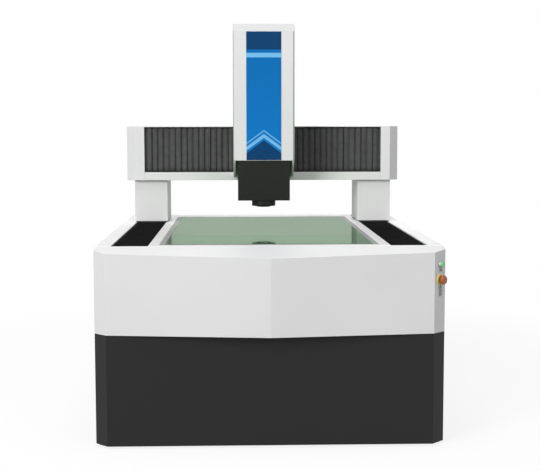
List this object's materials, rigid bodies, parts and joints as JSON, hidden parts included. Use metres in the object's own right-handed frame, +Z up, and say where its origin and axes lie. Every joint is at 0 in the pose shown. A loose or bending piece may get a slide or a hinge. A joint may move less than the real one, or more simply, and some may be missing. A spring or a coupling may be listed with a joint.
{
  "type": "vision measuring machine",
  "caption": "Floor-standing video measuring machine with a moving bridge over a backlit glass stage, a Z column with camera and lens, and a deck with pleated way covers.",
  "frame": {"origin": "on the floor, centred under the machine", "axes": "+X to the machine's right as seen from its front, +Y to the back, +Z up out of the glass stage"},
  "size_m": [1.4569, 1.936, 1.84],
  "materials": {
    "white_paint": "fine satin powder coat",
    "black_paint": "fine satin powder coat",
    "frame_paint": "satin",
    "cabinet_paint": "satin",
    "granite": "lapped",
    "glass": "clear float",
    "diffuser": "opal",
    "aluminium": "satin anodised",
    "black_anodised": "satin black anodised",
    "cast_iron": "machined and primed",
    "ground_steel": "ground",
    "zinc_steel": "zinc plated",
    "black_bellows": "coated fabric",
    "grey_bellows": "coated fabric",
    "blue_panel": "printed film",
    "motor_black": "satin",
    "green_plastic": "gloss",
    "red_plastic": "gloss",
    "yellow_plastic": "gloss",
    "black_plastic": "satin",
    "grey_plastic": "satin",
    "bright_metal": "polished"
  },
  "bodies": {
    "base": {"frame_tubes": "frame_paint", "leveling_feet": "zinc_steel", "foot_locknuts": "zinc_steel", "granite_bed": "granite", "y_guide_rails": "ground_steel", "y_screw_bearings": "black_anodised", "y_motor": "motor_black", "backlight_tray": "aluminium", "backlight_diffuser": "diffuser", "glass_frame": "aluminium", "glass_plate": "glass", "deck_trim": "white_paint", "upper_front_cover": "white_paint", "upper_side_covers": "white_paint", "upper_rear_cover": "white_paint", "skirt_front": "black_paint", "side_skirts": "black_paint", "skirt_rear": "black_paint", "control_cabinet": "cabinet_paint", "power_inlet": "black_plastic", "front_way_bellows": "black_bellows", "rear_way_bellows": "black_bellows", "start_button_bezel": "bright_metal", "pilot_lamp": "black_plastic", "estop_collar": "yellow_plastic", "rocker_frame": "black_plastic"},
    "bridge": {"columns": "cast_iron", "y_guide_blocks": "ground_steel", "column_covers": "white_paint", "crossbeam": "granite", "x_guide_rails": "ground_steel", "x_screw_bearings": "black_anodised", "x_motor": "motor_black", "beam_top_cover": "white_paint", "beam_lower_cover": "white_paint", "beam_end_caps": "white_paint", "beam_bellows_left": "grey_bellows", "beam_bellows_right": "grey_bellows"},
    "carriage": {"x_carriage": "aluminium", "x_guide_blocks": "ground_steel", "z_backplate": "aluminium", "z_guide_rails": "ground_steel", "z_motor": "motor_black", "z_housing": "white_paint", "z_front_cover": "white_paint", "front_panel": "blue_panel"},
    "head": {"z_slide": "aluminium", "z_guide_blocks": "ground_steel", "optics_box": "black_anodised", "zoom_lens": "black_anodised", "camera": "grey_plastic", "ring_light": "black_anodised"},
    "y_screw": {"y_screw": "ground_steel"},
    "x_screw": {"x_screw": "ground_steel"},
    "z_screw": {"z_screw": "ground_steel"},
    "start_button": {"start_button_cap": "green_plastic"},
    "estop_plunger": {"estop_stem": "grey_plastic"},
    "estop_knob": {"estop_head": "red_plastic"},
    "rocker": {"rocker_key": "black_plastic"}
  },
  "joints": [
    {"name": "bridge_y", "type": "slide", "parent": "base", "child": "bridge", "axis": [0, -1, 0], "range_m": [0, 1], "deforming": ["front_way_bellows", "rear_way_bellows"]},
    {"name": "carriage_x", "type": "slide", "parent": "bridge", "child": "carriage", "axis": [1, 0, 0], "range_m": [-0.38, 0.38], "deforming": ["beam_bellows_left", "beam_bellows_right"]},
    {"name": "head_z", "type": "slide", "parent": "carriage", "child": "head", "axis": [0, 0, 1], "range_m": [-0.06, 0.14]},
    {"name": "y_screw_turn", "type": "hinge", "parent": "base", "child": "y_screw", "pos_m": [0.676, 0.1, 0.742], "axis": [0, 1, 0], "range_deg": [-1, 14401]},
    {"name": "x_screw_turn", "type": "hinge", "parent": "bridge", "child": "x_screw", "pos_m": [0, 0.54, 1.187], "axis": [1, 0, 0], "range_deg": [-6841, 6841]},
    {"name": "z_screw_turn", "type": "hinge", "parent": "carriage", "child": "z_screw", "pos_m": [0, 0.409, 1.35], "axis": [0, 0, 1], "range_deg": [-5041, 2161]},
    {"name": "start_press", "type": "slide", "parent": "base", "child": "start_button", "axis": [-0.7071, 0.7071, 0], "range_m": [0, 0.003], "stiffness_N_per_m": 500, "springref_m": -0.002},
    {"name": "estop_press", "type": "slide", "parent": "base", "child": "estop_plunger", "axis": [-0.7071, 0.7071, 0], "range_m": [0, 0.005]},
    {"name": "estop_twist", "type": "hinge", "parent": "estop_plunger", "child": "estop_knob", "pos_m": [0.699, -0.861, 0.696], "axis": [-0.7071, 0.7071, 0], "range_deg": [0, 45], "stiffness_Nm_per_rad": 0.05},
    {"name": "rocker_tilt", "type": "hinge", "parent": "base", "child": "rocker", "pos_m": [0.699, -0.861, 0.65], "axis": [-0.7071, -0.7071, 0], "range_deg": [0, 14]}
  ],
  "couplings": [
    {"joint": "y_screw_turn", "follows": "bridge_y", "rad_per_m": 251.33},
    {"joint": "x_screw_turn", "follows": "carriage_x", "rad_per_m": -314.16},
    {"joint": "z_screw_turn", "follows": "head_z", "rad_per_m": -628.32}
  ]
}
